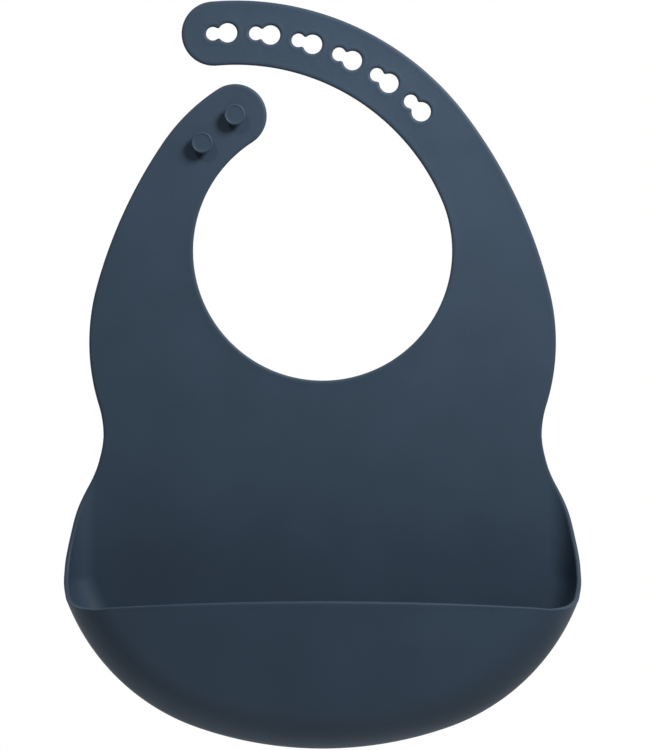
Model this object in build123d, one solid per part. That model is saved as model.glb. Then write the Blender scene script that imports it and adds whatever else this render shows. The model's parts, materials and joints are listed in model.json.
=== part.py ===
from build123d import *
import os
from math import acos, atan2, cos, degrees, radians, sin, sqrt

# Silicone bib, millimetres. The sheet stands in the XZ plane, as it hangs when worn.
# Origin: centre of the neck opening, at half the sheet's thickness. +Z up, front towards -Y.
# The moulding is divided where it flexes. Each flex line is a rounded edge in a hollow edge.

# sheet
sheet = 2.0                    # thickness
flex_gap = 0.3                 # clearance round the rounded edge at a flex line

# neck and straps
neck_radius = 53.8             # neck opening
peg_strap_width = 26.4
keyhole_strap_width = 26.8
strap_opening = 39.2           # how much larger the long strap's inner radius is than the neck's
strap_join_angle = 23.5        # where the long strap leaves the neck circle
peg_tip_angle = 122.9          # end of the short strap, seen from the neck centre
keyhole_tip_angle = 95.0       # end of the long strap, seen from its own centre

# side outline, top to bottom
shoulder_radius = 200.0
hip_radius = 87.8
hip_centre = (9.2, -37.9)
waist_radius = 41.5
waist_angle = -17.4            # direction from hip centre to waist centre
flare_radius = 50.0

# pocket
pocket_half_width = 106.0
pocket_depth = 48.0            # back face to the middle of the front wall
front_bow = 8.0                # how far the front wall's ends stand back from its middle
bottom_height = -202.0         # lowest point of the pocket
bottom_radius = 158.0
flank_radius = 87.0
corner_radius = 20.0
corner_height = -129.3         # height of the corner arc's centre
back_curl = 12.0               # outer radius where the sheet curls forward into the wall
front_curl = 17.0              # outer radius where the wall turns into the front
lip_height = -142.0
mouth_side = ((-105.0, 3.0), (-118.0, 6.0), (-127.5, 9.5), (-134.0, 14.0), (-139.0, 20.0))  # height, depth
lip_start_depth = 30.0         # the rim runs level from here to the front

# pegs and keyholes
keyhole_big = 3.98             # radius of the entry hole
keyhole_small = 2.8            # radius of the seat
keyhole_reach = 6.13           # from entry centre to seat centre
keyhole_pinch = 1.0            # radius that rounds the two points between entry and seat
keyhole_count = 6
hole_pitch = 17.9              # keyholes along their strap's middle, and pegs along theirs
first_keyhole_angle = 91.9     # entry hole nearest the tip
peg_stem_clearance = 0.2
peg_head_overlap = 0.47        # how far the head reaches past the edge of the entry hole
peg_head_thickness = 1.8
peg_head_round = 0.6
peg_gap = 0.3                  # spare length of the stem beyond the sheet it holds

# flex lines
fold_drop = 12.2               # the pocket folds up this far below the neck opening
shoulder_angle = 15.0          # from the X axis, both sides, seen from the neck centre
peg_bend_angle = 150.0         # first bend of the short strap; the second lies between the pegs
holes_per_link = 2             # keyholes between two bends of the long strap
front_flex_depth = 26.0        # the front shell starts here, measured from the back face
side_split_height = -172.0     # the wall's sides end here and its floor begins

# cutting shapes
side_margin = 2.0              # how far strap windows and flex lines reach past a strap's edge
shoulder_margin = 30.0         # the same where a strap widens into the chest
end_turn = 12.0                # degrees beyond a strap's last centre, round its end
spare = 10.0                   # how far other cutting shapes reach past what they cut
far_out = 500.0                # beyond the whole bib
same = 0.01                    # places closer than this count as one

half_sheet = sheet / 2


def step(point, distance, angle):
    return (point[0] + distance * cos(radians(angle)), point[1] + distance * sin(radians(angle)))


def between(a, b):
    return sqrt((b[0] - a[0]) ** 2 + (b[1] - a[1]) ** 2)


def heading(a, b):
    """Direction from a to b, in degrees between -180 and 180."""
    return degrees(atan2(b[1] - a[1], b[0] - a[0]))


def mirrored(point):
    return (-point[0], point[1])


def meeting_points(a, from_a, b, from_b):
    """The two points that lie at these distances from a and from b."""
    span = between(a, b)
    turn = degrees(acos((from_a ** 2 + span ** 2 - from_b ** 2) / (2 * from_a * span)))
    return step(a, from_a, heading(a, b) + turn), step(a, from_a, heading(a, b) - turn)


def enclosing_centres(a, radius_a, b, radius_b, radius):
    """The two centres from which a large circle touches both smaller circles round their outside."""
    return meeting_points(a, radius - radius_a, b, radius - radius_b)


# ---- places worked out from the sizes ----
neck = (0.0, 0.0)
pocket_fold_height = -neck_radius - fold_drop
peg_line = neck_radius + peg_strap_width / 2
peg_strap_outer = neck_radius + peg_strap_width
keyhole_strap_inner = neck_radius + strap_opening
keyhole_line = keyhole_strap_inner + keyhole_strap_width / 2
keyhole_strap_outer = keyhole_strap_inner + keyhole_strap_width
long_strap = step(neck, strap_opening, strap_join_angle + 180)

hip_right = hip_centre
hip_left = mirrored(hip_centre)
waist_right = step(hip_right, hip_radius + waist_radius, waist_angle)
right_choices = enclosing_centres(hip_right, hip_radius, long_strap, keyhole_strap_outer, shoulder_radius)
left_choices = enclosing_centres(hip_left, hip_radius, neck, peg_strap_outer, shoulder_radius)
shoulder_right = min(right_choices)    # of each two, the centre on the far side of the bib
shoulder_left = max(left_choices)
flare_x = pocket_half_width - flare_radius
flare_drop = sqrt((waist_radius + flare_radius) ** 2 - (waist_right[0] - flare_x) ** 2)
flare_right = (flare_x, waist_right[1] - flare_drop)

bottom = (0.0, bottom_height + bottom_radius)
corner_right = (pocket_half_width - corner_radius, corner_height)
flank_choices = meeting_points(
    bottom, bottom_radius - flank_radius, corner_right, flank_radius - corner_radius
)
flank_right = min(flank_choices, key=lambda place: place[1])    # the lower of the two
flank_angle = heading(bottom, flank_right)
corner_angle = heading(flank_right, corner_right)

keyhole_pitch_angle = degrees(hole_pitch / keyhole_line)
keyhole_angles = [first_keyhole_angle - i * keyhole_pitch_angle for i in range(keyhole_count)]
keyhole_turn = degrees(keyhole_reach / keyhole_line)
bare_angle = keyhole_pitch_angle - keyhole_turn - degrees((keyhole_big + keyhole_small) / keyhole_line)
bend_offset = degrees(keyhole_big / keyhole_line) + bare_angle / 2
long_bends = [a - bend_offset for a in keyhole_angles[holes_per_link - 1::holes_per_link]][::-1]
upper_peg_angle = peg_tip_angle
lower_peg_angle = peg_tip_angle + degrees(hole_pitch / peg_line)
peg_bends = (peg_bend_angle, (upper_peg_angle + lower_peg_angle) / 2)


# ---- outline ----
def arc(centre, radius, start, end):
    """Arc in the front view from angle start to angle end."""
    middle = (start + end) / 2
    return ThreePointArc(*[Vector(*step(centre, radius, a)) for a in (start, middle, end)])


def line(a, b):
    return Line(Vector(*a), Vector(*b))


def bib_outline():
    """Closed edge loop of the whole flat sheet, anticlockwise from the middle of the bottom."""
    mirror = 180.0
    hip_up = heading(shoulder_right, hip_right)
    band_up = heading(shoulder_right, long_strap)
    waist_back = waist_angle + 180
    flare_turn = heading(waist_right, flare_right) + 360
    left_up = heading(shoulder_left, hip_left) % 360
    left_band = heading(shoulder_left, neck) % 360
    peg_tip = step(neck, peg_line, peg_tip_angle)
    long_tip = step(long_strap, keyhole_line, keyhole_tip_angle)
    wall_top = flare_right[1]
    return [
        arc(bottom, bottom_radius, -90, flank_angle),
        arc(flank_right, flank_radius, flank_angle, corner_angle),
        arc(corner_right, corner_radius, corner_angle, 0),
        line((pocket_half_width, corner_right[1]), (pocket_half_width, wall_top)),
        arc(flare_right, flare_radius, 0, flare_turn - 180),
        arc(waist_right, waist_radius, flare_turn, waist_back),
        arc(hip_right, hip_radius, waist_angle, hip_up),
        arc(shoulder_right, shoulder_radius, hip_up, band_up),
        arc(long_strap, keyhole_strap_outer, band_up, keyhole_tip_angle),
        arc(long_tip, keyhole_strap_width / 2, keyhole_tip_angle, keyhole_tip_angle + 180),
        arc(long_strap, keyhole_strap_inner, keyhole_tip_angle, strap_join_angle),
        arc(neck, neck_radius, strap_join_angle, peg_tip_angle - 360),
        arc(peg_tip, peg_strap_width / 2, peg_tip_angle - 180, peg_tip_angle),
        arc(neck, peg_strap_outer, peg_tip_angle, left_band),
        arc(shoulder_left, shoulder_radius, left_band, left_up),
        arc(hip_left, hip_radius, left_up, mirror - waist_angle),
        arc(mirrored(waist_right), waist_radius, -waist_angle, mirror - flare_turn),
        arc(mirrored(flare_right), flare_radius, 360 - flare_turn, 180),
        line((-pocket_half_width, wall_top), (-pocket_half_width, corner_right[1])),
        arc(mirrored(corner_right), corner_radius, 180, mirror - corner_angle),
        arc(mirrored(flank_right), flank_radius, mirror - corner_angle, mirror - flank_angle),
        arc(bottom, bottom_radius, mirror - flank_angle, 270),
    ]


def bag_outline(by):
    """Closed loop of the pocket wall, moved inwards by a distance. Its top is cut away later."""
    mirror = 180.0
    side = pocket_half_width - by
    top = pocket_fold_height + spare + by * spare
    return [
        arc(bottom, bottom_radius - by, mirror - flank_angle - 360, flank_angle),
        arc(flank_right, flank_radius - by, flank_angle, corner_angle),
        arc(corner_right, corner_radius - by, corner_angle, 0),
        line((side, corner_right[1]), (side, top)),
        line((side, top), (-side, top)),
        line((-side, top), (-side, corner_right[1])),
        arc(mirrored(corner_right), corner_radius - by, 180, mirror - corner_angle),
        arc(mirrored(flank_right), flank_radius - by, mirror - corner_angle, mirror - flank_angle),
    ]


def front_face(edges):
    return Plane.XZ * make_face(Wire(edges))


def slab(edges, back, front):
    """Prism of a front-view outline from y = back to y = front."""
    return Pos(0, back, 0) * extrude(front_face(edges), back - front)


# ---- whole sheet and whole pocket ----
def upright_disc(point, radius, length):
    """Short cylinder with its axis along Y, through a front-view point."""
    return Pos(point[0], 0, point[1]) * Rot(90, 0, 0) * Cylinder(radius, length)


def keyhole(angle):
    """Cutter for one keyhole: entry and seat circles, rounded where they meet."""
    entry_place = step(long_strap, keyhole_line, angle)
    seat_place = step(long_strap, keyhole_line, angle + keyhole_turn)
    entry = upright_disc(entry_place, keyhole_big, sheet + 2 * spare)
    seat = upright_disc(seat_place, keyhole_small, sheet + 2 * spare)

    def pinched(edge):
        place = (edge.center().X, edge.center().Z)
        on_entry = abs(between(place, entry_place) - keyhole_big) < same
        return on_entry and abs(between(place, seat_place) - keyhole_small) < same

    hole = entry + seat
    return fillet([edge for edge in hole.edges() if pinched(edge)], keyhole_pinch)


def flat_sheet():
    blank = slab(bib_outline(), half_sheet, -half_sheet)
    for angle in keyhole_angles:
        blank -= keyhole(angle)
    return blank


def bag(by):
    """Full pocket form, moved inwards by a distance: bowed front, sheet curled in at back and front."""
    back = half_sheet - by
    front = half_sheet - pocket_depth + by
    bow_radius = (pocket_half_width ** 2 + front_bow ** 2) / (2 * front_bow)
    form = slab(bag_outline(by), back, front - spare)
    form &= Pos(0, front + bow_radius, 0) * Cylinder(bow_radius, 2 * far_out)
    top = max(v.Z for v in form.vertices())

    def closed_rim(shape, keep):
        edges = [e for e in shape.edges() if all(keep(v.Y) for v in e.vertices())]
        return [e for e in edges if min(v.Z for v in e.vertices()) < top - same]

    form = fillet(closed_rim(form, lambda y: y > back - same), back_curl - by)
    return fillet(closed_rim(form, lambda y: y < back - back_curl), front_curl - by)


def mouth_cut():
    """Everything in front of the mouth's rim: a side-view profile drawn right across the bib."""
    start = Vector(0, -half_sheet - same, waist_right[1])
    rim = [Vector(0, half_sheet - depth, height) for height, depth in mouth_side]
    level = Vector(0, half_sheet - lip_start_depth, lip_height)
    curve = Spline([start] + rim + [level], tangents=[(0, 0, -1), (0, -1, 0)])
    front = half_sheet - pocket_depth - spare
    corners = [level, Vector(0, front, lip_height), Vector(0, front, 0), Vector(0, start.Y, 0), start]
    profile = make_face(Wire([curve] + [Line(a, b) for a, b in zip(corners, corners[1:])]))
    return extrude(profile, pocket_half_width + spare, dir=(1, 0, 0), both=True)


def pocket_shell():
    shell = bag(0) - bag(sheet)
    shell &= slab(bib_outline(), half_sheet + spare, half_sheet - pocket_depth - spare)
    return shell - mouth_cut()


# ---- flex lines ----
def rod(line_ends, radius):
    """Round bar at half the sheet's thickness between two front-view points."""
    start, end = line_ends
    axis = Plane(origin=(start[0], 0, start[1]), z_dir=(end[0] - start[0], 0, end[1] - start[1]))
    return axis * Pos(0, 0, between(start, end) / 2) * Cylinder(radius, between(start, end))


def window(points):
    """Tall prism over a front-view polygon."""
    edges = [line(a, b) for a, b in zip(points, points[1:] + points[:1])]
    return slab(edges, far_out, -far_out)


def link(whole, points, near, far):
    """One stretch of sheet: hollow edge at its near flex line, rounded edge at its far one."""
    piece = whole & window(points)
    if near:
        piece -= rod(near, half_sheet + flex_gap)
    if far:
        piece += whole & rod(far, half_sheet)
    return piece


def flex_line(centre, angle, inner, outer):
    return step(centre, inner, angle), step(centre, outer, angle)


def strap_window(centre, near_angle, far_angle, inner, outer):
    """Polygon round a curved stretch of strap; its sides lie on the two flex lines."""
    angles = [near_angle + (far_angle - near_angle) * i / 4 for i in range(5)]
    return [step(centre, outer, a) for a in angles] + [step(centre, inner, a) for a in angles[::-1]]


fold_line = ((-far_out, pocket_fold_height), (far_out, pocket_fold_height))
shoulder_inner = neck_radius - side_margin
shoulder_outer = peg_strap_outer + shoulder_margin
right_shoulder = flex_line(neck, shoulder_angle, shoulder_inner, shoulder_outer)
left_shoulder = flex_line(neck, 180 - shoulder_angle, shoulder_inner, shoulder_outer)


def chest(blank):
    shoulders = [step(neck, far_out, shoulder_angle), neck, step(neck, far_out, 180 - shoulder_angle)]
    piece = link(blank, [*fold_line, *shoulders], None, fold_line)
    return piece + (blank & rod(right_shoulder, half_sheet)) + (blank & rod(left_shoulder, half_sheet))


def peg_strap(blank):
    inner = neck_radius - side_margin
    outer = peg_strap_outer + side_margin
    first, second = [flex_line(neck, a, inner, outer + side_margin) for a in peg_bends]
    last = peg_tip_angle - end_turn
    shoulder = strap_window(neck, 180 - shoulder_angle, peg_bends[0], inner, shoulder_outer)
    middle = strap_window(neck, peg_bends[0], peg_bends[1], inner, outer)
    tip = strap_window(neck, peg_bends[1], last, inner, outer)
    return {
        "peg_strap_shoulder": link(blank, shoulder, left_shoulder, first),
        "peg_strap_middle": link(blank, middle, first, second),
        "peg_strap_tip": link(blank, tip, second, None),
    }


def keyhole_strap(blank):
    inner = keyhole_strap_inner - side_margin
    outer = keyhole_strap_outer + side_margin
    lines = [flex_line(long_strap, a, inner, outer) for a in long_bends]
    far_corner = step(long_strap, outer + shoulder_margin, long_bends[0])
    shoulder = [right_shoulder[0], right_shoulder[1], far_corner, lines[0][0]]
    links = {"keyhole_strap_shoulder": link(blank, shoulder, right_shoulder, lines[0])}
    ends = long_bends[1:] + [keyhole_tip_angle + end_turn]
    for i, name in enumerate(("lower", "middle", "tip")):
        points = strap_window(long_strap, long_bends[i], ends[i], inner, outer)
        far = lines[i + 1] if i + 1 < len(lines) else None
        links[f"keyhole_strap_{name}"] = link(blank, points, lines[i], far)
    return links


# ---- pocket ----
def depth_layer(front_depth, back_depth):
    """Everything between two depths measured from the back face."""
    thick = front_depth - back_depth
    return Pos(0, half_sheet - back_depth - thick / 2, 0) * Box(2 * far_out, thick, 2 * far_out)


def pocket():
    shell = pocket_shell()
    side = pocket_half_width + spare
    low = [(-side, 2 * bottom_height), (side, 2 * bottom_height)]
    below_fold = low + [(side, pocket_fold_height), (-side, pocket_fold_height)]
    floor_part = low + [(side, side_split_height), (-side, side_split_height)]
    wall = shell & depth_layer(front_flex_depth - flex_gap, back_curl)
    floor = wall & window(floor_part)
    sides = (wall - window(floor_part)).solids()
    back = shell & depth_layer(back_curl, -spare)
    return {
        "pocket_back": link(back, below_fold, fold_line, None),
        "pocket_floor": floor,
        "pocket_left_side": min(sides, key=lambda s: s.center().X),
        "pocket_right_side": max(sides, key=lambda s: s.center().X),
        "pocket_front": shell & depth_layer(pocket_depth + spare, front_flex_depth),
    }


# ---- pegs ----
def peg(angle):
    """Mushroom peg that stands on the front face, long enough to hold one more sheet."""
    stem_length = sheet + peg_gap
    place = step(neck, peg_line, angle)
    stem = upright_disc(place, keyhole_small - peg_stem_clearance, stem_length)
    head = upright_disc(place, keyhole_big + peg_head_overlap, peg_head_thickness)
    head = fillet(head.edges(), peg_head_round)
    stem_middle = -half_sheet - stem_length / 2
    head_middle = -half_sheet - stem_length - peg_head_thickness / 2
    return Pos(0, stem_middle, 0) * stem + Pos(0, head_middle, 0) * head


def bib():
    blank = flat_sheet()
    nodes = {"chest_panel": chest(blank)}
    nodes.update(pocket())
    nodes.update(peg_strap(blank))
    nodes.update(keyhole_strap(blank))
    nodes["lower_peg"] = peg(lower_peg_angle)
    nodes["upper_peg"] = peg(upper_peg_angle)
    return nodes


os.makedirs("parts", exist_ok=True)
for name, shape in bib().items():
    export_step(shape, f"parts/{name}.step")
    box = shape.bounding_box()
    print(name, len(shape.solids()), round(shape.volume), [round(v, 1) for v in (*box.min, *box.max)])
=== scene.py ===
import bisect
import json
import math

import bmesh
import bpy
from mathutils import Matrix, Vector


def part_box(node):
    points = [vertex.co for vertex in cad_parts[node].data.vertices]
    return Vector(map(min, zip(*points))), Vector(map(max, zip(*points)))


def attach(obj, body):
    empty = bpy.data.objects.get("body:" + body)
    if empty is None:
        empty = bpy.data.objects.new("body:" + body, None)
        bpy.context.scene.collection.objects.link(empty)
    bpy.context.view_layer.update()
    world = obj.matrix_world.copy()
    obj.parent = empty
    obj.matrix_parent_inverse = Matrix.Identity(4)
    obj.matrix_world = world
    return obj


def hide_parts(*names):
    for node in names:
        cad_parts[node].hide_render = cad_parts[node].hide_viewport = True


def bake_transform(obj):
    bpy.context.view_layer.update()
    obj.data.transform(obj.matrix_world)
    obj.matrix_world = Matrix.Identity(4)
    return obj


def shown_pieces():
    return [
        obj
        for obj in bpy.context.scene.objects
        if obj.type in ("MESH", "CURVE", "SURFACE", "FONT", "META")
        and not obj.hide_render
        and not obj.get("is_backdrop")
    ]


# Silicone bib. The frame gives the places in metres; sizes below are in millimetres times mm.
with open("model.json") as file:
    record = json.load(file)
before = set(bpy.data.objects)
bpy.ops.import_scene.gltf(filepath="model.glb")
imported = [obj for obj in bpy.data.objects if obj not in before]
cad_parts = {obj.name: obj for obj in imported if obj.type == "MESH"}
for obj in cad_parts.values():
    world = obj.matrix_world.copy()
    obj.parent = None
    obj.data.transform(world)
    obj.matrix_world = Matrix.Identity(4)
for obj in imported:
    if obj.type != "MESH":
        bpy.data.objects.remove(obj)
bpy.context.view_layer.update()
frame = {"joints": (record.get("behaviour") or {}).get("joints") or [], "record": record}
mm = 0.001
mergeWithin = mm / 1000
cutWithin = mm / 10000
smoothAngle = math.radians(35)
record = frame["record"]
joints = {joint["name"]: joint for joint in frame["joints"]}
mounts = {mount["name"]: mount for mount in record["mounts"]}
openings = {opening["name"]: opening for opening in record["physics"]["openings"]}
neckRadius = mounts["neck_opening"]["dims"]["r_mm"] * mm
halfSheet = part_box("chest_panel")[1].y
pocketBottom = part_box("pocket_back")[0].z
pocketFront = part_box("pocket_front")[0].y
print("frame loaded")


# Plane geometry, seen from the front: x to the right, z up.
def step(place, distance, angle):
    turn = math.radians(angle)
    return Vector((place[0] + distance * math.cos(turn), place[1] + distance * math.sin(turn)))


def heading(start, end):
    return math.degrees(math.atan2(end[1] - start[1], end[0] - start[0]))


def span(start, end):
    return math.hypot(end[0] - start[0], end[1] - start[1])


def mirrored(place):
    return Vector((-place[0], place[1]))


def inSpace(place, y=0.0):
    return Vector((place[0], y, place[1]))


def cornerAngle(sideA, sideB, opposite):
    return math.degrees(math.acos((sideA**2 + sideB**2 - opposite**2) / (2 * sideA * sideB)))


def meetingPoints(first, fromFirst, second, fromSecond):
    # the two points at these distances from two others
    turn = cornerAngle(fromFirst, span(first, second), fromSecond)
    straight = heading(first, second)
    return step(first, fromFirst, straight + turn), step(first, fromFirst, straight - turn)


# Modelling helpers.
def activeMode(mode):
    bpy.ops.object.mode_set(mode=mode)


def pick(piece):
    if bpy.context.object and bpy.context.object.mode == "EDIT":
        activeMode("OBJECT")
    bpy.ops.object.select_all(action="DESELECT")
    piece.select_set(True)
    bpy.context.view_layer.objects.active = piece


def dropVertex(place, y=0.0):
    # starts a new mesh with a single selected vertex, open in edit mode
    if bpy.context.object and bpy.context.object.mode == "EDIT":
        activeMode("OBJECT")
    bpy.ops.object.select_all(action="DESELECT")
    bpy.ops.mesh.primitive_plane_add(size=mm, location=inSpace(place, y))
    bpy.ops.object.transform_apply()
    activeMode("EDIT")
    bpy.ops.mesh.select_all(action="SELECT")
    bpy.ops.mesh.merge(type="CENTER")


def sweepArc(centre, sweep, steps):
    # spins the selected vertex round a centre, anticlockwise from the front for a positive sweep
    bpy.ops.mesh.spin(steps=steps, angle=math.radians(sweep), center=inSpace(centre), axis=(0, 1, 0))


def selectIn(mode, test):
    # selects the vertices, edges or faces that pass a test
    bpy.ops.mesh.select_mode(type=mode)
    bpy.ops.mesh.select_all(action="DESELECT")
    mesh = bmesh.from_edit_mesh(bpy.context.object.data)
    mesh.normal_update()
    found = {"VERT": mesh.verts, "EDGE": mesh.edges, "FACE": mesh.faces}[mode]
    for part in found:
        if test(part):
            part.select_set(True)
    mesh.select_flush_mode()
    bmesh.update_edit_mesh(bpy.context.object.data)


def applied(piece, kind, **settings):
    pick(piece)
    modifier = piece.modifiers.new(kind.lower(), kind)
    for name, value in settings.items():
        setattr(modifier, name, value)
    bpy.ops.object.modifier_apply(modifier=modifier.name)


def copied(piece, name):
    pick(piece)
    bpy.ops.object.duplicate()
    twin = bpy.context.object
    twin.name = name
    twin.data.name = name
    return twin


def keepSide(piece, place, towards):
    # cuts the piece with a plane, keeps the side that a direction points to, and closes the cut
    pick(piece)
    activeMode("EDIT")
    bpy.ops.mesh.select_all(action="SELECT")
    settings = {"clear_inner": True, "use_fill": True, "threshold": cutWithin}
    bpy.ops.mesh.bisect(plane_co=place, plane_no=towards, **settings)
    activeMode("OBJECT")


def scoreLines(piece, place, across, reach, spacing):
    # extra cuts parallel to a flex line, so that the sheet could bend there in a smooth curve
    pick(piece)
    activeMode("EDIT")
    count = math.ceil(2 * reach / spacing)
    for i in range(count + 1):
        bpy.ops.mesh.select_all(action="SELECT")
        line = Vector(place) + Vector(across) * (-reach + 2 * reach * i / count)
        bpy.ops.mesh.bisect(plane_co=line, plane_no=across, threshold=cutWithin)
    activeMode("OBJECT")


# Edge of the sheet: a half-round rim, a slight bead inside it, then the thinner middle.
edge = {
    "roundSteps": 5,
    "bead": 1.9 * mm,        # the bead ends here, measured from the rim
    "slope": 0.9 * mm,       # and runs out over this width
    "middleShare": 0.95,     # thickness inside the bead, as a share of the bead's
}


def edgeLevels():
    # distance from the rim and share of the full thickness, from the rim inwards
    found = []
    for i in range(edge["roundSteps"] + 1):
        turn = math.pi / 2 * i / edge["roundSteps"]
        found.append((halfSheet * (1 - math.cos(turn)), math.sin(turn)))
    thin = edge["middleShare"]
    found.append((edge["bead"], 1))
    found.append((edge["bead"] + edge["slope"] / 2, (1 + thin) / 2))
    found.append((edge["bead"] + edge["slope"], thin))
    return found


levels = edgeLevels()


def thicken(piece, shareOf):
    # gives a skin its two faces; shareOf tells a vertex's share of the full thickness
    group = piece.vertex_groups.new(name="thickness")
    for vertex in piece.data.vertices:
        group.add([vertex.index], shareOf(vertex.index), "REPLACE")
    applied(piece, "SOLIDIFY", thickness=2 * halfSheet, offset=0, vertex_group="thickness",
            thickness_vertex_group=0)
    pick(piece)
    activeMode("EDIT")
    bpy.ops.mesh.select_all(action="SELECT")
    bpy.ops.mesh.remove_doubles(threshold=mergeWithin)
    bpy.ops.mesh.normals_make_consistent(inside=False)
    activeMode("OBJECT")
    piece.vertex_groups.clear()


# Outline of the flat sheet.
outline = {
    "pegStrapWidth": 26.4 * mm,
    "keyholeStrapWidth": 26.8 * mm,
    "strapOpening": 39.2 * mm,       # inner radius of the long strap, beyond the neck's
    "strapJoinAngle": 23.5,
    "pegTipAngle": 122.9,
    "keyholeTipAngle": 95.0,
    "shoulderRadius": 200 * mm,
    "hipRadius": 87.8 * mm,
    "hipCentre": Vector((9.2, -37.9)) * mm,
    "waistRadius": 41.5 * mm,
    "waistAngle": -17.4,
    "flareRadius": 50 * mm,
    "pocketHalfWidth": 106 * mm,
    "spacing": 1.3 * mm,             # between points of the outline
    "grid": 9 * mm,                  # cuts across the flat sheet
    "gridReach": 250 * mm,
    "gridShift": 0.37,               # keeps the cuts off the points of the outline, as a share of the grid
}
neck = Vector((0, 0))
pegStrapOuter = neckRadius + outline["pegStrapWidth"]
pegLine = neckRadius + outline["pegStrapWidth"] / 2
keyholeInner = neckRadius + outline["strapOpening"]
keyholeOuter = keyholeInner + outline["keyholeStrapWidth"]
keyholeLine = (keyholeInner + keyholeOuter) / 2
longStrap = step(neck, outline["strapOpening"], outline["strapJoinAngle"] + 180)
hipRight = outline["hipCentre"]
hipLeft = mirrored(hipRight)
waistRight = step(hipRight, outline["hipRadius"] + outline["waistRadius"], outline["waistAngle"])
flareX = outline["pocketHalfWidth"] - outline["flareRadius"]
flareSpan = outline["waistRadius"] + outline["flareRadius"]
flareRight = Vector((flareX, waistRight.y - math.sqrt(flareSpan**2 - (waistRight.x - flareX) ** 2)))
toHip = outline["shoulderRadius"] - outline["hipRadius"]
toLongStrap = outline["shoulderRadius"] - keyholeOuter
toPegStrap = outline["shoulderRadius"] - pegStrapOuter
shoulderRight = min(meetingPoints(hipRight, toHip, longStrap, toLongStrap), key=lambda place: place.x)
shoulderLeft = max(meetingPoints(hipLeft, toHip, neck, toPegStrap), key=lambda place: place.x)


def sheetArcs():
    # centre, radius, start and end angle of each arc of the sheet above the pocket,
    # and 1 where the sheet lies on the centre's side of it, or -1
    size = outline
    flareTurn = heading(waistRight, flareRight) + 360
    waistTurn = size["waistAngle"]
    hipUp = heading(shoulderRight, hipRight)
    bandUp = heading(shoulderRight, longStrap)
    leftBand = heading(shoulderLeft, neck) % 360
    leftUp = heading(shoulderLeft, hipLeft) % 360
    pegEnd = size["pegTipAngle"]
    longEnd = size["keyholeTipAngle"]
    return [
        (waistRight, size["waistRadius"], flareTurn, waistTurn + 180, -1),
        (hipRight, size["hipRadius"], waistTurn, hipUp, 1),
        (shoulderRight, size["shoulderRadius"], hipUp, bandUp, 1),
        (longStrap, keyholeOuter, bandUp, longEnd, 1),
        (step(longStrap, keyholeLine, longEnd), size["keyholeStrapWidth"] / 2, longEnd, longEnd + 180, 1),
        (longStrap, keyholeInner, longEnd, size["strapJoinAngle"], -1),
        (neck, neckRadius, size["strapJoinAngle"], pegEnd - 360, -1),
        (step(neck, pegLine, pegEnd), size["pegStrapWidth"] / 2, pegEnd - 180, pegEnd, 1),
        (neck, pegStrapOuter, pegEnd, leftBand, 1),
        (shoulderLeft, size["shoulderRadius"], leftBand, leftUp, 1),
        (hipLeft, size["hipRadius"], leftUp, 180 - waistTurn, 1),
        (mirrored(waistRight), size["waistRadius"], -waistTurn, 180 - flareTurn, -1),
    ]


# Keyholes: a large entry and a small seat, with a rounded pinch between them.
keyholes = {
    "entryRadius": 3.98 * mm,
    "seatRadius": 2.8 * mm,
    "reach": 6.13 * mm,      # from entry centre to seat centre
    "pinchRadius": 1.05 * mm,
    "entrySteps": 30,        # for half of the entry circle
    "seatSteps": 36,
    "pinchSteps": 8,
    "leastPinch": 0.06 * mm,
    "beadShare": 0.69,       # the holes stand close together, so their bead is narrower than the sheet's
}


def drawKeyhole(entry, distance):
    # one loop at a distance from the hole's edge: entry circle, pinch, seat circle and pinch again
    distance = min(distance, halfSheet) + max(distance - halfSheet, 0) * keyholes["beadShare"]
    big = keyholes["entryRadius"] + distance
    small = keyholes["seatRadius"] + distance
    pinch = max(keyholes["pinchRadius"] - distance, keyholes["leastPinch"])
    turn = heading(longStrap, entry) + math.degrees(keyholes["reach"] / keyholeLine)
    seat = step(longStrap, keyholeLine, turn)
    upper, lower = meetingPoints(entry, big + pinch, seat, small + pinch)
    entryHalf = cornerAngle(big + pinch, span(entry, seat), small + pinch)
    seatHalf = cornerAngle(small + pinch, span(entry, seat), big + pinch)
    pinchTurn = entryHalf + seatHalf - 180
    dropVertex(step(entry, big, heading(entry, seat) + 180))
    sweepArc(entry, 180 - entryHalf, keyholes["entrySteps"])
    sweepArc(lower, pinchTurn, keyholes["pinchSteps"])
    sweepArc(seat, 360 - 2 * seatHalf, keyholes["seatSteps"])
    sweepArc(upper, pinchTurn, keyholes["pinchSteps"])
    sweepArc(entry, 180 - entryHalf, keyholes["entrySteps"])


def drawOutline(distance):
    # one loop at a distance inside the sheet's edge, closed by a straight run below the panel
    arcs = sheetArcs()
    centre, radius, start, end, inwards = arcs[0]
    dropVertex(step(centre, radius - inwards * distance, start))
    for centre, radius, start, end, inwards in arcs:
        steps = math.ceil(abs(math.radians(end - start)) * radius / outline["spacing"])
        sweepArc(centre, end - start, steps)


def closeLoop(number, share):
    # closes the newly drawn chain and gives all its vertices the loop's number and share of the thickness
    loop = bpy.context.object
    bpy.ops.mesh.select_all(action="SELECT")
    bpy.ops.mesh.remove_doubles(threshold=mergeWithin)
    selectIn("VERT", lambda vertex: len(vertex.link_edges) == 1)
    bpy.ops.mesh.edge_face_add()
    activeMode("OBJECT")
    numbers = loop.data.attributes.new("loop", "INT", "POINT")
    for value in numbers.data:
        value.value = number
    shares = loop.data.attributes.new("share", "FLOAT", "POINT")
    for value in shares.data:
        value.value = share
    return loop


def selectLoops(*numbers):
    mesh = bmesh.from_edit_mesh(bpy.context.object.data)
    layer = mesh.verts.layers.int["loop"]
    selectIn("VERT", lambda vertex: vertex[layer] in numbers)


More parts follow.
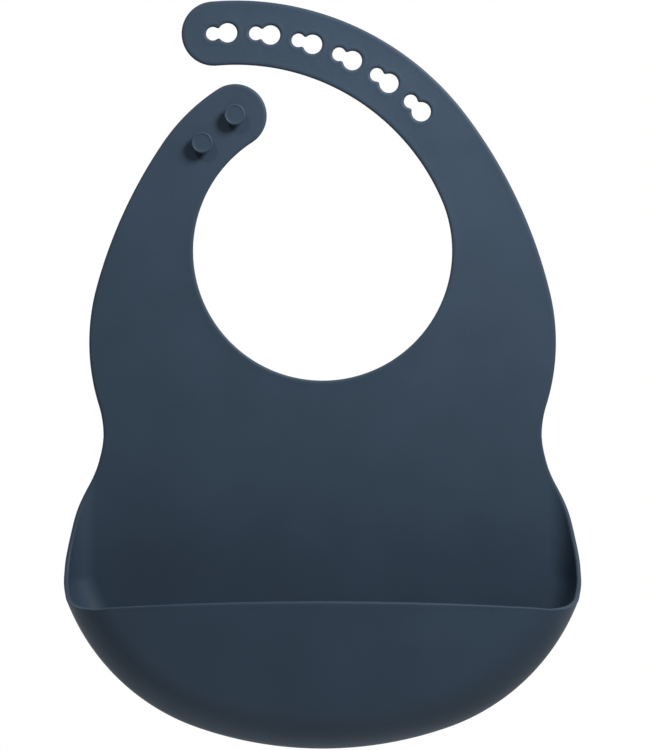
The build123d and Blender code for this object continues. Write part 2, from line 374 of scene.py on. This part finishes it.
def makeSheet():
    holes = []
    for name in sorted(openings):
        if name.startswith("keyhole"):
            low, high = openings[name]["box_m"]
            holes.append(Vector(((low[0] + high[0]) / 2, (low[2] + high[2]) / 2)))
    count = len(levels)
    loops = []
    for i, (distance, share) in enumerate(levels):
        drawOutline(distance)
        loops.append(closeLoop(i + 1, share))
        for k, hole in enumerate(holes):
            drawKeyhole(hole, distance)
            loops.append(closeLoop((k + 1) * count + i + 1, share))
    bpy.ops.object.select_all(action="DESELECT")
    for loop in loops:
        loop.select_set(True)
    sheet = loops[0]
    bpy.context.view_layer.objects.active = sheet
    bpy.ops.object.join()
    activeMode("EDIT")
    for k in range(len(holes) + 1):
        for i in range(1, count):
            selectLoops(k * count + i, k * count + i + 1)
            bpy.ops.mesh.bridge_edge_loops()
    selectLoops(*[(k + 1) * count for k in range(len(holes) + 1)])
    bpy.ops.mesh.fill(use_beauty=True)
    cutGrid()
    bpy.ops.mesh.select_all(action="SELECT")
    bpy.ops.mesh.normals_make_consistent(inside=False)
    activeMode("OBJECT")
    shares = [value.value for value in sheet.data.attributes["share"].data]
    thicken(sheet, lambda index: shares[index])
    for name in ("loop", "share"):
        sheet.data.attributes.remove(sheet.data.attributes[name])
    return sheet


def cutGrid():
    # short edges all over the flat sheet, so that later cuts meet no long thin faces
    spacing = outline["grid"]
    count = math.ceil(outline["gridReach"] / spacing)
    for across in (Vector((1, 0, 0)), Vector((0, 0, 1))):
        for i in range(-count, count + 1):
            bpy.ops.mesh.select_all(action="SELECT")
            place = across * (i + outline["gridShift"]) * spacing
            bpy.ops.mesh.bisect(plane_co=place, plane_no=across, threshold=cutWithin)


# Camera, as the bib is seen from the front.
cameraValues = {
    "place": Vector((1.0, -1000.0, -51.5)) * mm,
    "lens": 115.5,
    "sensor": 36,
}


def addCamera():
    bpy.ops.object.camera_add(location=cameraValues["place"], rotation=(math.pi / 2, 0, 0))
    camera = bpy.context.object
    camera.data.lens = cameraValues["lens"]
    camera.data.sensor_width = cameraValues["sensor"]
    bpy.context.scene.camera = camera


# Pocket: a skin from the flat back, round the curled border, to the rim.
# Its depths are measured forwards from the middle of the sheet's thickness.
pocket = {
    "bottomRadius": 158 * mm,
    "flankRadius": 87 * mm,
    "cornerRadius": 16 * mm,
    "cornerHeight": -134.5 * mm,
    "backCurl": 11 * mm,
    "frontCurl": 16 * mm,
    "bow": 8 * mm,                              # how far the front's ends stand back from its middle
    "top": -78 * mm,                            # the flat sheet above ends here
    "borderTop": 40 * mm,                       # the skin starts this far in from the widest line at the top
    "borderLow": 14.5 * mm,                     # and this far in round the bottom
    "rimStart": Vector((0.5, -88)) * mm,        # depth and height where the rim turns forward
    "rimStartPull": Vector((4, -129)) * mm,
    "rimEndPull": Vector((15, -144.5)) * mm,
    "rimEnd": Vector((39.5, -145)) * mm,        # where it reaches the front
    "lipMiddle": -141.3 * mm,                   # top of the arched lip
    "columns": (46, 8, 46, 40, 34),             # side, corner, upper flank, lower flank, bottom
    "upperFlankTurn": 22,                       # degrees of the flank that hold the lip's corner
    "rows": 66,
    "walkStep": 0.2 * mm,
    "borderSteps": 100,
    "rimSteps": 80,
    "smoothing": 6,                             # columns each side that even out the rim beside the sheet
    "smoothingFade": 4,                         # past the corner, one column fewer after each of these
    "bendStart": -8 * mm,                       # depths that bound the walls' stretch zone
    "bendEnd": -42 * mm,
}
halfWidth = outline["pocketHalfWidth"]
bottomCentre = Vector((0, pocketBottom + pocket["bottomRadius"]))
cornerRight = Vector((halfWidth - pocket["cornerRadius"], pocket["cornerHeight"]))
toBottom = pocket["bottomRadius"] - pocket["flankRadius"]
toCorner = pocket["flankRadius"] - pocket["cornerRadius"]
flankRight = min(meetingPoints(bottomCentre, toBottom, cornerRight, toCorner), key=lambda place: place.y)
waistJoin = step(waistRight, outline["waistRadius"], heading(waistRight, flareRight))
frontDepth = -pocketFront - halfSheet


def skinColumns():
    # foot on the widest outline, outward direction and border width, from the top right to the middle
    top = pocket["top"]
    sideCount = pocket["columns"][0]
    columns = []
    for i in range(sideCount):
        share = 1 - i / sideCount
        border = pocket["borderLow"] + (pocket["borderTop"] - pocket["borderLow"]) * share
        height = cornerRight.y + (top - cornerRight.y) * share
        columns.append((Vector((halfWidth, height)), Vector((1, 0)), border))
    cornerTurn = heading(flankRight, cornerRight)
    flankTurn = heading(bottomCentre, flankRight)
    turns = [0, cornerTurn, cornerTurn - pocket["upperFlankTurn"], flankTurn, -90]
    centres = [cornerRight, flankRight, flankRight, bottomCentre]
    radii = [pocket["cornerRadius"], pocket["flankRadius"], pocket["flankRadius"], pocket["bottomRadius"]]
    for centre, radius, start, end, count in zip(centres, radii, turns, turns[1:], pocket["columns"][1:]):
        for i in range(count):
            angle = start + (end - start) * i / count
            columns.append((step(centre, radius, angle), step(neck, 1, angle), pocket["borderLow"]))
    columns.append((Vector((0, pocketBottom)), Vector((0, -1)), pocket["borderLow"]))
    return columns


def frontAt(x):
    return frontDepth - pocket["bow"] * (x / halfWidth) ** 2


def rimCurve():
    # depth and height of the rim seen from the side, from the back to the front
    points = [pocket[name] for name in ("rimStart", "rimStartPull", "rimEndPull", "rimEnd")]
    curve = []
    for i in range(pocket["rimSteps"] + 1):
        t = i / pocket["rimSteps"]
        weights = [(1 - t) ** 3, 3 * t * (1 - t) ** 2, 3 * t * t * (1 - t), t**3]
        curve.append(sum((point * weight for point, weight in zip(points, weights)), Vector((0, 0))))
    return curve


rim = rimCurve()


def rimHeight(depth):
    # highest point of the wall at a depth
    if depth <= rim[0].x:
        return pocket["top"]
    if depth >= rim[-1].x:
        rise = (depth - rim[-1].x) / (frontDepth - rim[-1].x)
        return rim[-1].y + (pocket["lipMiddle"] - rim[-1].y) * rise
    for near, far in zip(rim, rim[1:]):
        if depth <= far.x:
            return near.y + (far.y - near.y) * (depth - near.x) / (far.x - near.x)


def silhouette(height):
    # half the width of the sheet beside the pocket
    if height > waistJoin.y:
        return waistRight.x - math.sqrt(outline["waistRadius"] ** 2 - (height - waistRight.y) ** 2)
    if height > flareRight.y:
        return flareRight.x + math.sqrt(outline["flareRadius"] ** 2 - (height - flareRight.y) ** 2)
    return halfWidth


def walkOut(foot, outward, border):
    # a column's path: along the flat border, round both curls and over the front, and where the rim ends it
    back = pocket["backCurl"]
    front = pocket["frontCurl"]
    small = pocket["walkStep"]

    def place(inset, depth):
        flat = foot - outward * inset
        return Vector((flat.x, -depth, flat.y))

    def depthAt(inset):
        return frontAt(place(inset, 0).x)

    path = []
    flat = border - halfSheet - back
    for i in range(pocket["borderSteps"]):
        path.append(place(border - flat * i / pocket["borderSteps"], 0))
    turns = math.ceil(back * math.pi / 2 / small)
    for i in range(turns):
        turn = math.pi / 2 * i / turns
        path.append(place(halfSheet + back - back * math.sin(turn), back - back * math.cos(turn)))
    wall = depthAt(halfSheet) - front - back
    steps = math.ceil(wall / small)
    for i in range(steps):
        path.append(place(halfSheet, back + wall * i / steps))
    turns = math.ceil(front * math.pi / 2 / small)
    for i in range(turns):
        turn = math.pi / 2 * i / turns
        inset = halfSheet + front - front * math.cos(turn)
        path.append(place(inset, depthAt(inset) - front + front * math.sin(turn)))
    inset = halfSheet + front
    while path[-1].z < pocket["lipMiddle"]:
        path.append(place(inset, depthAt(inset)))
        inset += small
    for i, point in enumerate(path):
        if point.x > silhouette(point.z) or point.z > rimHeight(-point.y):
            return path, i
    return path, len(path) - 1


def lengthsAlong(path):
    lengths = [0.0]
    for start, end in zip(path, path[1:]):
        lengths.append(lengths[-1] + (end - start).length)
    return lengths


def pointAt(path, lengths, length):
    i = min(bisect.bisect_right(lengths, length), len(path) - 1)
    return path[i - 1].lerp(path[i], (length - lengths[i - 1]) / (lengths[i] - lengths[i - 1]))


def skinPoints():
    # one list of points for every column; the rows next to the rim keep fixed distances from it
    walks = [walkOut(*column) for column in skinColumns()]
    measured = [lengthsAlong(path) for path, end in walks]
    ends = [lengths[end] for lengths, (path, end) in zip(measured, walks)]
    sideCount = pocket["columns"][0]
    near = [distance for distance, share in levels[::-1]]
    rows = pocket["rows"] - len(near)
    right = []
    for i, (path, end) in enumerate(walks):
        reach = pocket["smoothing"] - max(i - sideCount, 0) // pocket["smoothingFade"]
        width = min(i, max(reach, 1), len(ends) - 1 - i)
        window = ends[i - width:i + width + 1]
        length = sum(window) / len(window)
        marks = [(length - near[0]) * k / rows for k in range(rows)] + [length - gap for gap in near]
        right.append([pointAt(path, measured[i], mark) for mark in marks])
    left = [[Vector((-point.x, point.y, point.z)) for point in column] for column in right[:-1]]
    return left + right[::-1]


def makePocket():
    columns = skinPoints()
    rows = pocket["rows"]
    bpy.ops.object.select_all(action="DESELECT")
    bpy.ops.mesh.primitive_grid_add(x_subdivisions=rows - 1, y_subdivisions=len(columns) - 1, size=mm)
    skin = bpy.context.object
    skin.name = "bib_pocket"
    skin.data.name = "bib_pocket"
    places = [value for column in columns for point in column for value in point]
    skin.data.vertices.foreach_set("co", places)
    activeMode("EDIT")
    selectIn("VERT", lambda vertex: vertex.index % rows == 0)
    bpy.ops.mesh.edge_face_add()
    activeMode("OBJECT")
    shares = [edge["middleShare"]] * (rows - len(levels)) + [share for distance, share in levels[::-1]]
    thicken(skin, lambda index: shares[index % rows])
    return skin


# Strips of the sheet, each scored across one flex line.
bends = {
    "panelBottom": pocket["top"],
    "panelTop": -15 * mm,        # the panel's piece ends here, and the two straps' pieces begin
    "foldReach": 10 * mm,        # the sheet is scored over this much on each side of a flex line
    "shoulderReach": 12 * mm,
    "pegGapReach": 4.4 * mm,     # between the two pegs
    "keyholeStrapCut": 28,       # degrees round the long strap's centre, below its first bend
    "slack": 0.98,
    "spacing": 1.2 * mm,
}


def lineAt(name, centre):
    # middle of a flex line, its angle round a centre, and the direction in which that angle grows
    place = Vector(joints[name]["pos_m"])
    angle = heading(centre, (place.x, place.z))
    return place, angle, inSpace(step(neck, 1, angle + 90))


def strip(source, name, lowCut, highCut, centre):
    # the stretch of a strap between two angles
    piece = copied(source, name)
    if lowCut is not None:
        keepSide(piece, inSpace(centre), inSpace(step(neck, 1, lowCut + 90)))
    if highCut is not None:
        keepSide(piece, inSpace(centre), inSpace(step(neck, 1, highCut - 90)))
    return piece


def bendOver(piece, jointName, across, reach, *nodes):
    # scores the flex line, shades the piece smooth, gives it its material and hides the parts it stands for
    place = Vector(joints[jointName]["pos_m"])
    scoreLines(piece, place, across, reach, bends["spacing"])
    start = place - across * reach
    end = place + across * reach
    finishPiece(piece, silicone, "bib_silicone", *nodes)
    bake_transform(piece)


def finishPiece(piece, material, slot, *nodes):
    pick(piece)
    bpy.ops.object.shade_smooth_by_angle(angle=smoothAngle)
    piece.data.materials.clear()
    piece.data.materials.append(material)
    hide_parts(*nodes)


def makeStraps(sheet):
    upper = copied(sheet, "upper")
    keepSide(upper, (0, 0, bends["panelTop"]), (0, 0, 1))
    pick(upper)
    activeMode("EDIT")
    bpy.ops.mesh.separate(type="LOOSE")
    activeMode("OBJECT")
    sides = sorted(bpy.context.selected_objects, key=lambda piece: sum(c[0] for c in piece.bound_box))
    makePegStrap(sides[0])
    makeKeyholeStrap(sides[1])
    for source in sides:
        bpy.data.objects.remove(source)


def makePegStrap(source):
    names = ["peg_shoulder_fold", "peg_strap_bend", "peg_strap_tip_bend"]
    lines = [lineAt(name, neck) for name in names]
    half = (lines[0][1] - lines[1][1]) / 2
    reach = neckRadius * math.sin(math.radians(half)) * bends["slack"]
    cuts = [None, lines[1][1] + half, lines[1][1] - half, None]
    reaches = [reach, reach, bends["pegGapReach"]]
    for i, name in enumerate(names):
        node = joints[name]["child"]
        piece = strip(source, node + "_skin", cuts[i + 1], cuts[i], neck)
        bendOver(piece, name, -lines[i][2], reaches[i], node)


def makeKeyholeStrap(source):
    bendNames = ("keyhole_strap_bend", "keyhole_strap_middle_bend", "keyhole_strap_tip_bend")
    names = ["keyhole_shoulder_fold", *bendNames]
    lines = [lineAt(names[0], neck)] + [lineAt(name, longStrap) for name in names[1:]]
    half = (lines[2][1] - lines[1][1]) / 2
    reach = keyholeInner * math.sin(math.radians(half)) * bends["slack"]
    cuts = [None, bends["keyholeStrapCut"], lines[1][1] + half, lines[2][1] + half, None]
    reaches = [bends["shoulderReach"], reach, reach, reach]
    reaches[1] = min(reach, keyholeInner * math.sin(math.radians(lines[1][1] - cuts[1])) * bends["slack"])
    for i, name in enumerate(names):
        node = joints[name]["child"]
        piece = strip(source, node + "_skin", cuts[i], cuts[i + 1], longStrap)
        bendOver(piece, name, lines[i][2], reaches[i], node)


def makePanel(sheet):
    panel = copied(sheet, "chest_skin")
    keepSide(panel, (0, 0, bends["panelBottom"]), (0, 0, 1))
    keepSide(panel, (0, 0, bends["panelTop"]), (0, 0, -1))
    bendOver(panel, "pocket_fold", Vector((0, 0, -1)), bends["foldReach"], "chest_panel")


# Pegs: a profile drawn from the axis and spun round.
pegs = {
    "sides": 72,
    "root": 0.5 * mm,            # the profile starts inside the sheet
    "rootFillet": 0.75 * mm,
    "stem": 2.6 * mm,
    "neckFillet": 0.2 * mm,      # between stem and head
    "headRadius": 4.45 * mm,
    "headThickness": 1.8 * mm,
    "underRound": 0.55 * mm,
    "topRound": 0.6 * mm,
    "rimSlope": 0.5 * mm,        # width of the slope inside the head's raised rim
    "rimHeight": 0.16 * mm,
    "flareSteps": 6,
    "filletSteps": 3,
    "topSteps": 8,
    "slopeSteps": 4,
}


def makePeg(node):
    low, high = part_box(node)
    centre = (low + high) / 2
    front = low.y
    underside = front + pegs["headThickness"]
    face = -halfSheet * edge["middleShare"]
    bpy.ops.object.select_all(action="DESELECT")
    dropVertex((centre.x, centre.z), -pegs["root"])
    peg = bpy.context.object
    peg.name = node + "_skin"
    peg.data.name = node + "_skin"
    pen = Vector((0, -pegs["root"]))     # radius and depth of the profile's end

    def drawTo(radius, y):
        move = (radius - pen.x, y - pen.y, 0)
        bpy.ops.mesh.extrude_region_move(TRANSFORM_OT_translate={"value": move})
        pen.x, pen.y = radius, y

    def turnAbout(radius, y, sweep, steps):
        # anticlockwise for a positive sweep, with the radius to the right and y upwards
        middle = (centre.x + radius, y, centre.z)
        bpy.ops.mesh.spin(steps=steps, angle=math.radians(sweep), center=middle, axis=(0, 0, -1))
        arm = pen - Vector((radius, y))
        arm.rotate(Matrix.Rotation(math.radians(sweep), 2))
        pen.x, pen.y = radius + arm.x, y + arm.y

    flare = pegs["rootFillet"]
    fillet = pegs["neckFillet"]
    under = pegs["underRound"]
    top = pegs["topRound"]
    head = pegs["headRadius"]
    drawTo(pegs["stem"] + flare, -pegs["root"])
    drawTo(pegs["stem"] + flare, face)
    turnAbout(pegs["stem"] + flare, face - flare, 90, pegs["flareSteps"])
    drawTo(pegs["stem"], underside + fillet)
    turnAbout(pegs["stem"] + fillet, underside + fillet, 90, pegs["filletSteps"])
    drawTo(head - under, underside)
    turnAbout(head - under, underside - under, -90, pegs["flareSteps"])
    drawTo(head, front + top)
    turnAbout(head - top, front + top, -90, pegs["topSteps"])
    slope = pegs["rimSlope"]
    for i in range(1, pegs["slopeSteps"] + 1):
        share = i / pegs["slopeSteps"]
        drawTo(head - top - slope * share, front + pegs["rimHeight"] * (share * share * (3 - 2 * share)))
    drawTo(head / 2, front + pegs["rimHeight"])
    drawTo(0, front + pegs["rimHeight"])
    bpy.ops.mesh.select_all(action="SELECT")
    middle = (centre.x, 0, centre.z)
    bpy.ops.mesh.spin(steps=pegs["sides"], angle=2 * math.pi, center=middle, axis=(0, 1, 0))
    bpy.ops.mesh.select_all(action="SELECT")
    bpy.ops.mesh.remove_doubles(threshold=mergeWithin)
    bpy.ops.mesh.normals_make_consistent(inside=False)
    activeMode("OBJECT")
    finishPiece(peg, pegSilicone, "peg_silicone", node)
    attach(peg, bodyOf(node))


def bodyOf(node):
    return next(name for name, nodes in record["behaviour"]["bodies"].items() if node in nodes)


# Material: matte silicone.
class Wire:
    # a node's output that can be used in ordinary sums

    def __init__(self, tree, output=None):
        self.tree = tree
        self.output = output

    def make(self, kind, settings, sockets):
        # adds a node; sockets holds plain values and other nodes' outputs
        node = self.tree.nodes.new(kind)
        for name, value in settings.items():
            setattr(node, name, value)
        for name, value in sockets.items():
            if isinstance(value, Wire):
                self.tree.links.new(value.output, node.inputs[name])
            else:
                node.inputs[name].default_value = value
        return Wire(self.tree, next(iter(node.outputs), None))

    def named(self, name):
        return Wire(self.tree, self.output.node.outputs[name])

    def sum(self, operation, first, second):
        return self.make("ShaderNodeMath", {"operation": operation}, {0: first, 1: second})

    def __add__(self, other):
        return self.sum("ADD", self, other)

    def __radd__(self, other):
        return self.sum("ADD", other, self)

    def __sub__(self, other):
        return self.sum("SUBTRACT", self, other)

    def __rsub__(self, other):
        return self.sum("SUBTRACT", other, self)

    def __mul__(self, other):
        return self.sum("MULTIPLY", self, other)

    def __rmul__(self, other):
        return self.sum("MULTIPLY", other, self)


bibLook = {
    "dark": (0.0295, 0.051, 0.0795, 1),
    "light": (0.036, 0.0605, 0.0945, 1),
    "cloudSize": 28 * mm,
    "speckSize": 1.1 * mm,
    "speckShare": 0.3,
    "roughness": 0.55,
    "roughnessSpread": 0.12,
    "contrast": (0.3, 0.7),      # the part of the mottling between the dark and the light colour
    "specular": 0.25,
    "sheen": 0.02,
    "grainSize": 0.16 * mm,
    "grainHeight": 0.006 * mm,
    "swellSize": 17 * mm,        # the moulded sheet isn't quite flat
    "swellHeight": 0.1 * mm,
}
pegLook = dict(bibLook, roughness=0.5, swellHeight=0.02 * mm, cloudSize=9 * mm)


def makeSilicone(name, look):
    material = bpy.data.materials.new(name)
    material.use_nodes = True
    tree = material.node_tree
    tree.nodes.clear()
    kit = Wire(tree)
    place = kit.make("ShaderNodeTexCoord", {}, {}).named("Object")

    def noise(size, detail):
        sockets = {"Vector": place, "Scale": 1 / size, "Detail": detail, "Roughness": 0.5}
        return kit.make("ShaderNodeTexNoise", {}, sockets)

    clouds = noise(look["cloudSize"], 3)
    specks = noise(look["speckSize"], 2)
    mottle = clouds * (1 - look["speckShare"]) + specks * look["speckShare"]
    low, high = look["contrast"]
    spread = kit.make("ShaderNodeMapRange", {}, {"Value": mottle, "From Min": low, "From Max": high})
    blend = {0: spread, 6: look["dark"], 7: look["light"]}
    colour = kit.make("ShaderNodeMix", {"data_type": "RGBA"}, blend).named(2)
    swell = noise(look["swellSize"], 1) * look["swellHeight"]
    height = swell + noise(look["grainSize"], 2) * look["grainHeight"]
    relief = kit.make("ShaderNodeBump", {}, {"Height": height, "Distance": 1.0, "Strength": 1.0})
    shader = kit.make("ShaderNodeBsdfPrincipled", {}, {
        "Base Color": colour,
        "Roughness": look["roughness"] + (specks - 0.5) * look["roughnessSpread"],
        "Specular IOR Level": look["specular"],
        "Sheen Weight": look["sheen"],
        "Normal": relief,
    })
    kit.make("ShaderNodeOutputMaterial", {}, {"Surface": shader})
    return material


# Surroundings: white behind, a pale floor out of sight, a large lamp close by at the upper right.
studio = {
    "front": 0.1,                # light from the side the bib is seen from
    "behind": 1.0,
    "turn": (-0.1, 0.5),         # from front light to back light, along the view
    "floorHeight": -0.34,
    "floorRadius": 0.55,
    "floorGlow": 0.06,
    "floorSides": 64,
    "floorRoughness": 0.9,
    "floorColour": (0.8, 0.8, 0.8, 1),
    "lamps": (
        ((0.33, -0.35, 0.38), 1.45, 0.25),      # place, watts, size
        ((-0.3, -0.5, 0.5), 0.33, 0.1),
    ),
    "spread": 96,               # degrees
    "aim": Vector((0.05, 0, 0.06)),
}


def makeWorld():
    world = bpy.data.worlds.new("studio")
    bpy.context.scene.world = world
    world.use_nodes = True
    tree = world.node_tree
    tree.nodes.clear()
    kit = Wire(tree)
    direction = kit.make("ShaderNodeTexCoord", {}, {}).named("Generated")
    away = kit.make("ShaderNodeSeparateXYZ", {}, {0: direction}).named("Y")
    light = kit.make("ShaderNodeMapRange", {}, {
        "Value": away,
        "From Min": studio["turn"][0],
        "From Max": studio["turn"][1],
        "To Min": studio["front"],
        "To Max": studio["behind"],
    })
    seen = kit.make("ShaderNodeLightPath", {}, {}).named("Is Camera Ray")
    strength = seen + (1 - seen) * light
    sky = kit.make("ShaderNodeBackground", {}, {"Color": (1, 1, 1, 1), "Strength": strength})
    kit.make("ShaderNodeOutputWorld", {}, {"Surface": sky})


def makeFloor():
    shape = {"vertices": studio["floorSides"], "radius": studio["floorRadius"], "fill_type": "NGON"}
    bpy.ops.mesh.primitive_circle_add(**shape)
    floor = bpy.context.object
    floor.name = "floor"
    floor.location = (0, 0, studio["floorHeight"])
    material = bpy.data.materials.new("floor")
    material.use_nodes = True
    shader = material.node_tree.nodes["Principled BSDF"]
    shader.inputs["Base Color"].default_value = studio["floorColour"]
    shader.inputs["Roughness"].default_value = studio["floorRoughness"]
    shader.inputs["Emission Color"].default_value = (1, 1, 1, 1)
    shader.inputs["Emission Strength"].default_value = studio["floorGlow"]
    floor.data.materials.append(material)
    floor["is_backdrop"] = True


def makeLamps():
    for place, watts, size in studio["lamps"]:
        bpy.ops.object.light_add(type="AREA", location=place)
        lamp = bpy.context.object
        lamp.rotation_euler = (studio["aim"] - lamp.location).to_track_quat("-Z", "Y").to_euler()
        lamp.data.energy = watts
        lamp.data.shape = "DISK"
        lamp.data.size = size
        lamp.data.spread = math.radians(studio["spread"])


silicone = makeSilicone("bib_silicone", bibLook)
pegSilicone = makeSilicone("peg_silicone", pegLook)
sheet = makeSheet()
makePanel(sheet)
makeStraps(sheet)
bpy.data.objects.remove(sheet)
print("panel and straps made")
skin = makePocket()
finishPiece(skin, silicone, "bib_silicone", "pocket_back", "pocket_floor", "pocket_left_side",
            "pocket_right_side", "pocket_front")
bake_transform(skin)
print("pocket made")
makePeg("lower_peg")
makePeg("upper_peg")
print("pegs made")
addCamera()
makeWorld()
makeFloor()
makeLamps()
bpy.context.scene.view_settings.view_transform = "Standard"
print("light and camera set")

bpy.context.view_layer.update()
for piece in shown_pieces():
    print(piece.name, len(piece.data.vertices))
